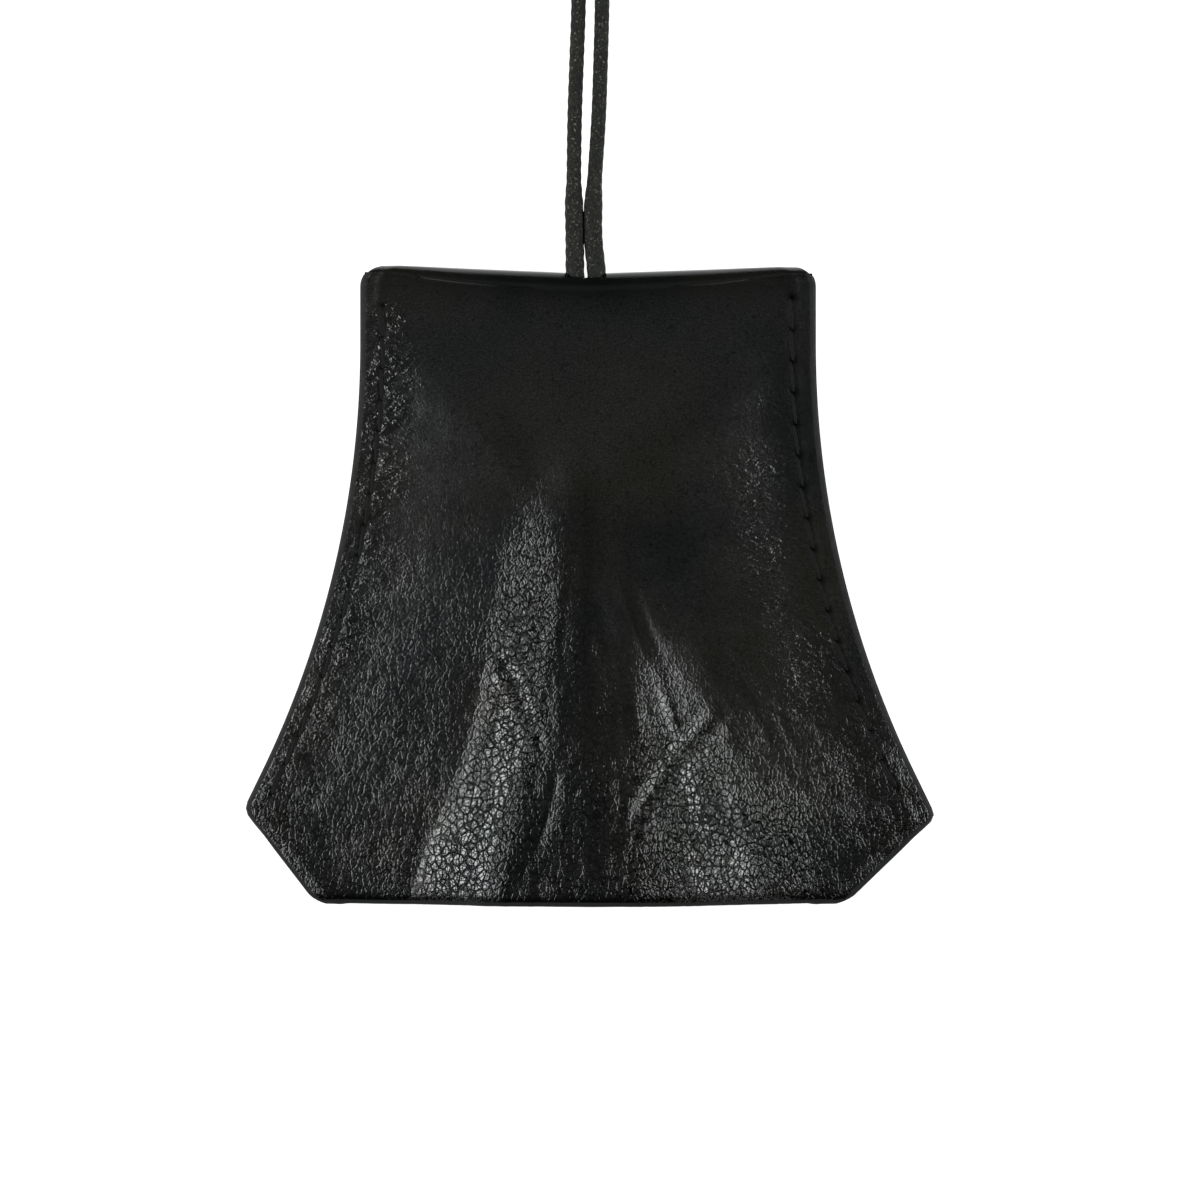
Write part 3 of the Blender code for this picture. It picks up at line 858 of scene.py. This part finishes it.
def neck_cord(surface):
    route = smooth_route([*LEFT_STRAND, *coil_turns(), *RIGHT_STRAND[::-1]], CORD_SPACING)
    length = float(np.linalg.norm(np.diff(route, axis=0), axis=1).sum())
    points, faces = tube(route, cord_radius(route), CORD_SIDES, braid)
    cord = new_piece("neck_cord", mesh_of("neck_cord", points, faces), surface)
    return cord, route, length


def stopper_knot(surface):
    """A barrel knot: the doubled cord with its own end wrapped round it."""
    turns = np.linspace(0, 2 * math.pi * KNOT_WRAPS, KNOT_POINTS)
    run = np.linspace(KNOT_HALF_LENGTH, -KNOT_HALF_LENGTH, KNOT_POINTS)
    wound = np.stack((KNOT_WIDE * np.cos(turns), run, KNOT_TALL * np.sin(turns)), axis=1)
    wraps = np.array(KNOT_CENTRE) + wound
    cores = []
    for strand, loop_end in ((LEFT_STRAND, RING_LOOP[0]), (RIGHT_STRAND, RING_LOOP[-1])):
        start, next_point = Vector(strand[0]), Vector(strand[1])
        overlap = next_point.lerp(start, KNOT_STRAND_OVERLAP)
        inside = [overlap, start, KNOT_CENTRE.lerp(start, KNOT_CORE_PULL), Vector(loop_end)]
        cores.append(tube(smooth_route(inside, KNOT_SPACING), CORD / 2, CORD_SIDES, braid))
    bodies = [tube(wraps, CORD / 2, CORD_SIDES, braid), *cores]
    return new_piece("stopper_knot", mesh_of("stopper_knot", *joined(bodies)), surface)


def ring_loop(surface):
    points, faces = tube(smooth_route(RING_LOOP, CORD_SPACING), CORD / 2, CORD_SIDES, braid)
    return new_piece("ring_loop", mesh_of("ring_loop", points, faces), surface)


# Split ring


def split_ring(surface):
    """Flat wire wound twice, with a step where one turn passes the other and both ends showing."""
    mean, half = (RING_OUTER + RING_INNER) / 2, (RING_OUTER - RING_INNER) / 2
    tall = RING_TURN_HEIGHT / 2
    angles = np.linspace(*RING_WIRE, RING_POINTS)
    heights = mix(-tall, tall, ease(angles, *RING_STEP)) * RING_TURN_GAP
    section = []
    for sign_x, sign_z in ((1, 1), (-1, 1), (-1, -1), (1, -1)):
        corner = math.atan2(sign_z, sign_x)
        for turn in (-0.5, 0.0, 0.5):
            bend = corner + turn * WIRE_CORNER_TURN
            out = sign_x * (half - WIRE_CORNER) + WIRE_CORNER * math.cos(bend)
            up = sign_z * (tall - WIRE_CORNER) + WIRE_CORNER * math.sin(bend)
            section.append((out, up))
    points, faces = [], []
    count = len(section)
    tilt_cos, tilt_sin = math.cos(RING_TILT), math.sin(RING_TILT)
    for angle, height in zip(angles, heights):
        for out, up in section:
            x = (mean + out) * math.sin(angle)
            y = (mean + out) * math.cos(angle) - mean
            z = height + up
            tilted = Vector((x, y * tilt_cos - z * tilt_sin, y * tilt_sin + z * tilt_cos))
            points.append(tilted + RING_HINGE)
    for i in range(len(angles) - 1):
        for j in range(count):
            k = (j + 1) % count
            faces.append([i * count + j, i * count + k, (i + 1) * count + k, (i + 1) * count + j])
    faces.append(list(range(count))[::-1])
    faces.append([(len(angles) - 1) * count + j for j in range(count)])
    ring = new_piece("split_ring", mesh_of("split_ring", points, faces), surface)
    ring.data.set_sharp_from_angle(angle=RING_SHARP_ANGLE)
    return ring


# Stitches


def thread_ply(angle, run):
    """Relief of two plies wound round each other."""
    return THREAD_PLY * np.cos(2 * angle + 2 * math.pi * run / THREAD_PLY_PITCH)


def stitch_tubes(side, front):
    """A seam's stitches on one face. Each dives into a hole at both ends and slants a little."""
    holes = HOLES[side]
    bodies = []
    sign = 1 if front else -1
    pairs = [(a, b, 0.0) for a, b in zip(holes, holes[1:])]
    pairs += [(*holes[:2], BACK_STITCH_SHIFT), (*holes[-2:], BACK_STITCH_SHIFT)]
    t = np.linspace(0, 1, STITCH_POINTS)
    rise = THREAD_RISE[side]
    for i, (start, end, shift) in enumerate(pairs):
        along = np.array(end) - np.array(start)
        normal = np.array((along[1], -along[0])) / np.linalg.norm(along)
        slant = THREAD_SLANT * (1 - 2 * t) + shift * np.sin(math.pi * t)
        slant = slant + THREAD_UNEVEN * (-1) ** i
        x = start[0] + along[0] * t + normal[0] * slant
        y = start[1] + along[1] * t + normal[1] * slant
        surface = (front_height(x, y) if front else back_relief(x, y)) + sign * HALF_HIDE
        z = surface + sign * (rise * np.sin(math.pi * t) ** 0.5 - THREAD_SUNK)
        route = smooth_route(np.stack((x, y, z), axis=1), THREAD_SPACING)
        bodies.append(tube(route, THREAD_RADIUS, THREAD_SIDES, thread_ply))
    return bodies


def seam_stitches(name, side, surface):
    bodies = stitch_tubes(side, True) + stitch_tubes(side, False)
    return new_piece(name, mesh_of(name, *joined(bodies)), surface)


# Materials


class Graph:
    """A material's nodes round its Principled shader."""

    def __init__(self, name, **inputs):
        self.material = bpy.data.materials.new(name)
        self.material.use_nodes = True
        self.tree = self.material.node_tree
        self.shader = self.tree.nodes["Principled BSDF"]
        for socket, value in inputs.items():
            self.shader.inputs[socket.replace("_", " ")].default_value = value

    def node(self, kind, inputs=None, **settings):
        made = self.tree.nodes.new("ShaderNode" + kind)
        for setting, value in settings.items():
            setattr(made, setting, value)
        for socket, value in (inputs or {}).items():
            if isinstance(value, bpy.types.NodeSocket):
                self.tree.links.new(value, made.inputs[socket])
            else:
                made.inputs[socket].default_value = value
        return made

    def math(self, operation, first, second):
        return self.node("Math", {0: first, 1: second}, operation=operation).outputs[0]

    def coordinates(self):
        return self.node("TexCoord").outputs["Object"]

    def attribute(self, name):
        return self.node("Attribute", attribute_name=name).outputs["Fac"]

    def stretched(self, vector, scale_x, scale_y, degrees):
        """The vector with its own scale along x and y, turned round z."""
        turn = (0, 0, math.radians(degrees))
        sockets = {"Vector": vector, "Scale": (scale_x, scale_y, 1.0), "Rotation": turn}
        return self.node("Mapping", sockets).outputs["Vector"]

    def noise(self, vector, scale, detail=2.0, roughness=0.5):
        sockets = {"Vector": vector, "Scale": scale, "Detail": detail, "Roughness": roughness}
        return self.node("TexNoise", sockets).outputs["Fac"]

    def voronoi_edges(self, vector, scale):
        sockets = {"Vector": vector, "Scale": scale}
        return self.node("TexVoronoi", sockets, feature="DISTANCE_TO_EDGE").outputs["Distance"]

    def remap(self, value, low, high, to_low=0.0, to_high=1.0):
        sockets = {0: value, 1: low, 2: high, 3: to_low, 4: to_high}
        return self.node("MapRange", sockets, clamp=True).outputs[0]

    def colours(self, share, first, second):
        """A mix of two colours. The first may be a socket."""
        first = first if isinstance(first, bpy.types.NodeSocket) else (*first, 1)
        sockets = {0: share, 6: first, 7: (*second, 1)}
        return self.node("Mix", sockets, data_type="RGBA").outputs[2]

    def bump(self, height, distance):
        return self.node("Bump", {"Height": height, "Distance": distance}).outputs["Normal"]

    def connect(self, output, socket):
        self.tree.links.new(output, self.shader.inputs[socket])


def grained_leather():
    """Glossy black hide: flat plates between narrow cracks, and short puckers along the seams."""
    g = Graph("grained_leather", Specular_IOR_Level=0.5)
    place = g.coordinates()
    wander = g.math("MULTIPLY", g.noise(place, 480.0, 3.0), 0.0011)
    shifted = g.node("VectorMath", {0: place, 1: wander}, operation="ADD").outputs[0]
    grain, puckers, creases, painted_shade = map(g.attribute, ("grain", "puckers", "creases", "painted_shade"))

    # Relief: flat plates, finer plates in them, brushed fibre and the strokes by each seam
    slanted = g.stretched(shifted, 1.0, 0.72, -28)
    edges = g.voronoi_edges(slanted, 1250.0)
    plates = g.remap(edges, 0.02, 0.14)
    small_edges = g.voronoi_edges(shifted, 2300.0)
    small_plates = g.remap(small_edges, 0.0, 0.14)
    height = g.math("ADD", plates, g.math("MULTIPLY", small_plates, 0.35))
    height = g.math("MULTIPLY", height, g.remap(grain, 0.0, 1.0, 0.0, 1.5))
    fibre = g.noise(g.stretched(shifted, 0.38, 1.0, 35), 3600.0, 3.0, 0.6)
    height = g.math("ADD", height, g.math("MULTIPLY", fibre, 0.42))
    height = g.math("ADD", height, g.math("MULTIPLY", small_plates, 0.08))
    for mask, stretch, degrees, scale, depth in (
        (puckers, 0.42, -24, 2100.0, 2.3),
        (creases, 0.30, 62, 2300.0, 1.7),
    ):
        noise = g.noise(g.stretched(shifted, stretch, 1.0, degrees), scale, 2.0, 0.6)
        strokes = g.remap(noise, 0.50, 0.75)
        strokes = g.math("MULTIPLY", strokes, g.math("MULTIPLY", mask, depth))
        height = g.math("ADD", height, strokes)
    g.connect(g.bump(height, 0.000045), "Normal")

    patch = g.remap(g.noise(place, 55.0, 2.0), 0.35, 0.65)
    cool, warm = (0.0028, 0.0033, 0.0034), (0.0067, 0.0062, 0.0049)
    g.connect(g.colours(patch, cool, warm), "Base Color")
    g.connect(g.remap(g.noise(place, 260.0, 3.0), 0.35, 0.7, 0.19, 0.22), "Roughness")

    # Painted shade: black metal mirrors nothing, so cracks, holes, creases, hem and fold are
    # painted dark.
    painted_crack_shade = g.remap(edges, 0.04, 0.13, 1.0, 0.0)
    # The painted crack shade is deeper where the grain is deeper.
    painted_crack_shade = g.math("MULTIPLY", painted_crack_shade, g.remap(grain, 0.0, 0.5, 0.15, 0.95))
    painted_small_crack_shade = g.math("MULTIPLY", g.remap(small_edges, 0.02, 0.12, 1.0, 0.0), 0.55)
    all_painted_shade = g.math("MAXIMUM", g.math("MAXIMUM", painted_crack_shade, painted_small_crack_shade), painted_shade)
    g.connect(all_painted_shade, "Metallic")
    return g.material


def flesh_side():
    """The inside of the hide: dyed suede."""
    g = Graph("flesh_side", Roughness=0.92, Specular_IOR_Level=0.2, Sheen_Weight=0.25)
    place = g.coordinates()
    nap = g.noise(place, 2600.0, 4.0, 0.7)
    g.connect(g.bump(nap, 0.00012), "Normal")
    g.connect(g.colours(nap, (0.012, 0.010, 0.009), (0.034, 0.029, 0.025)), "Base Color")
    return g.material


def edge_paint():
    """The cut edge: painted and burnished, with slight ripples along it."""
    g = Graph("edge_paint", Specular_IOR_Level=0.15)
    place = g.coordinates()
    ripple = g.noise(place, 900.0, 2.0)
    g.connect(g.bump(ripple, 0.00004), "Normal")
    g.connect(g.remap(ripple, 0.3, 0.7, 0.66, 0.82), "Roughness")
    g.connect(g.colours(ripple, (0.0035, 0.0035, 0.0035), (0.0070, 0.0070, 0.0068)), "Base Color")
    return g.material


def waxed_thread():
    """Dull black thread."""
    g = Graph("waxed_thread", Roughness=0.65, Specular_IOR_Level=0.1)
    place = g.coordinates()
    fibre = g.noise(place, 7000.0, 2.0)
    g.connect(g.bump(fibre, 0.00003), "Normal")
    g.connect(g.colours(fibre, (0.0008, 0.0008, 0.0008), (0.0026, 0.0026, 0.0025)), "Base Color")
    return g.material


def waxed_braid():
    """The cord: olive black and fibrous, with pale wax and dust caught between its fibres."""
    g = Graph("waxed_braid", Roughness=0.8, Specular_IOR_Level=0.2)
    place = g.coordinates()
    slants = [g.stretched(place, 2.4, 1.0, degrees) for degrees in (32, -32)]
    fibre = g.math("MAXIMUM", *(g.noise(slant, 1700.0, 3.0, 0.65) for slant in slants))
    patch = g.noise(place, 520.0, 3.0, 0.6)
    g.connect(g.bump(fibre, 0.00016), "Normal")
    share = g.math("MULTIPLY", g.remap(fibre, 0.46, 0.70), g.remap(patch, 0.3, 0.7, 0.35, 1.0))
    body = g.colours(share, (0.0006, 0.0008, 0.0006), (0.016, 0.017, 0.012))
    specks = g.remap(g.noise(place, 3300.0, 2.0), 0.60, 0.72)
    g.connect(g.colours(specks, body, (0.075, 0.075, 0.056)), "Base Color")
    return g.material


def plated_steel():
    """Nickel plate with fine drawn lines and light handling wear."""
    g = Graph("plated_steel", Metallic=1.0, Roughness=0.2)
    place = g.coordinates()
    wear = g.noise(place, 1300.0, 4.0, 0.6)
    g.connect(g.remap(wear, 0.3, 0.75, 0.14, 0.36), "Roughness")
    g.connect(g.colours(wear, (0.56, 0.55, 0.52), (0.68, 0.67, 0.64)), "Base Color")
    g.connect(g.bump(wear, 0.000008), "Normal")
    return g.material


def floor_white():
    g = Graph("white_floor", Roughness=1.0, Specular_IOR_Level=0.0, Emission_Strength=FLOOR_GLOW)
    g.shader.inputs["Base Color"].default_value = (FLOOR_TONE, FLOOR_TONE, FLOOR_TONE, 1)
    g.shader.inputs["Emission Color"].default_value = (1, 1, 1, 1)
    return g.material


# Stage


def white_floor():
    signs = ((-1, -1), (1, -1), (1, 1), (-1, 1))
    corners = [(x * FLOOR_REACH, y * FLOOR_REACH, 0) for x, y in signs]
    floor = new_piece("floor", mesh_of("floor", corners, [(0, 1, 2, 3)]), floor_white())
    floor.location.z = -FLOOR_DROP


def soft_box(name, tilt, heading, size, radiance, colour):
    """A soft box that faces the pouch from tilt degrees off the vertical, towards a heading.

    size is in degrees as the pouch sees it, up from the vertical and across. radiance is what a
    mirror would show of it.
    """
    tilt, heading = math.radians(tilt), math.radians(heading)
    flat = math.sin(tilt)
    place = Vector((flat * math.cos(heading), flat * math.sin(heading), math.cos(tilt)))
    data = bpy.data.lights.new(name, "AREA")
    data.shape = "RECTANGLE"
    data.size_y, data.size = (2 * LIGHT_DISTANCE * math.tan(math.radians(s / 2)) for s in size)
    data.energy = radiance * 4 * data.size * data.size_y
    data.color = colour
    light = bpy.data.objects.new(name, data)
    bpy.context.scene.collection.objects.link(light)
    light.location = place * LIGHT_DISTANCE
    up = Vector((0, 0, 1)) - place * place.z
    side = up.cross(place).normalized()
    up = place.cross(side)
    light.rotation_euler = Matrix((side, up, place)).transposed().to_euler()
    light.visible_camera = False


def light_the_stage():
    soft_box("left_soft_box", 54, 177, (26, 50), 11.2, (0.97, 1.0, 1.0))
    soft_box("right_soft_box", 57, 6, (26, 46), 10.0, (0.95, 0.99, 1.0))
    soft_box("top_soft_box", 28, 90, (26, 60), 0.14, (0.88, 0.97, 1.0))
    world = bpy.data.worlds.new("dim_studio")
    world.use_nodes = True
    tree = world.node_tree
    background = tree.nodes["Background"]
    background.inputs["Color"].default_value = (1, 1, 1, 1)
    to_camera = tree.nodes.new("ShaderNodeLightPath").outputs["Is Camera Ray"]
    strength = tree.nodes.new("ShaderNodeMapRange")
    tree.links.new(to_camera, strength.inputs[0])
    strength.inputs["To Min"].default_value = WORLD_ON_OBJECTS
    strength.inputs["To Max"].default_value = WORLD_ON_CAMERA
    tree.links.new(strength.outputs[0], background.inputs["Strength"])
    bpy.context.scene.world = world
    bpy.context.scene.view_settings.view_transform = "Standard"
    bpy.context.scene.view_settings.look = "None"


def camera():
    data = bpy.data.cameras.new("camera")
    data.sensor_width = SENSOR
    data.lens = SENSOR * VIEW_HEIGHT / VIEW_WIDTH
    data.clip_start, data.clip_end = 0.01, 20.0
    made = bpy.data.objects.new("camera", data)
    bpy.context.scene.collection.objects.link(made)
    made.location = (*VIEW_CENTRE, SEAM_FRONT + VIEW_HEIGHT)
    bpy.context.scene.camera = made


def main():
    camera()
    white_floor()
    light_the_stage()

    cord_finish, thread_finish = waxed_braid(), waxed_thread()
    cord, route, length = neck_cord(cord_finish)
    knot, loop = stopper_knot(cord_finish), ring_loop(cord_finish)
    for piece, nodes in (
        (cord, ("cord_strand_left", "cord_strand_right", "cord_coil")),
        (knot, ("cord_knot",)),
        (loop, ("cord_ring_loop",)),
    ):
        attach(piece, "cord")
        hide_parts(*nodes)

    ring = split_ring(plated_steel())
    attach(ring, "ring")
    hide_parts("split_key_ring")

    hide = new_piece("hide", leather_mesh(), grained_leather(), flesh_side(), edge_paint())
    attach(hide, "bell")
    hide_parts("leather_bell")

    for name, side in (("left", -1), ("right", 1)):
        stitches = seam_stitches(f"{name}_stitches", side, thread_finish)
        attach(stitches, "bell")
        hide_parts(f"seam_thread_{name}")


main()
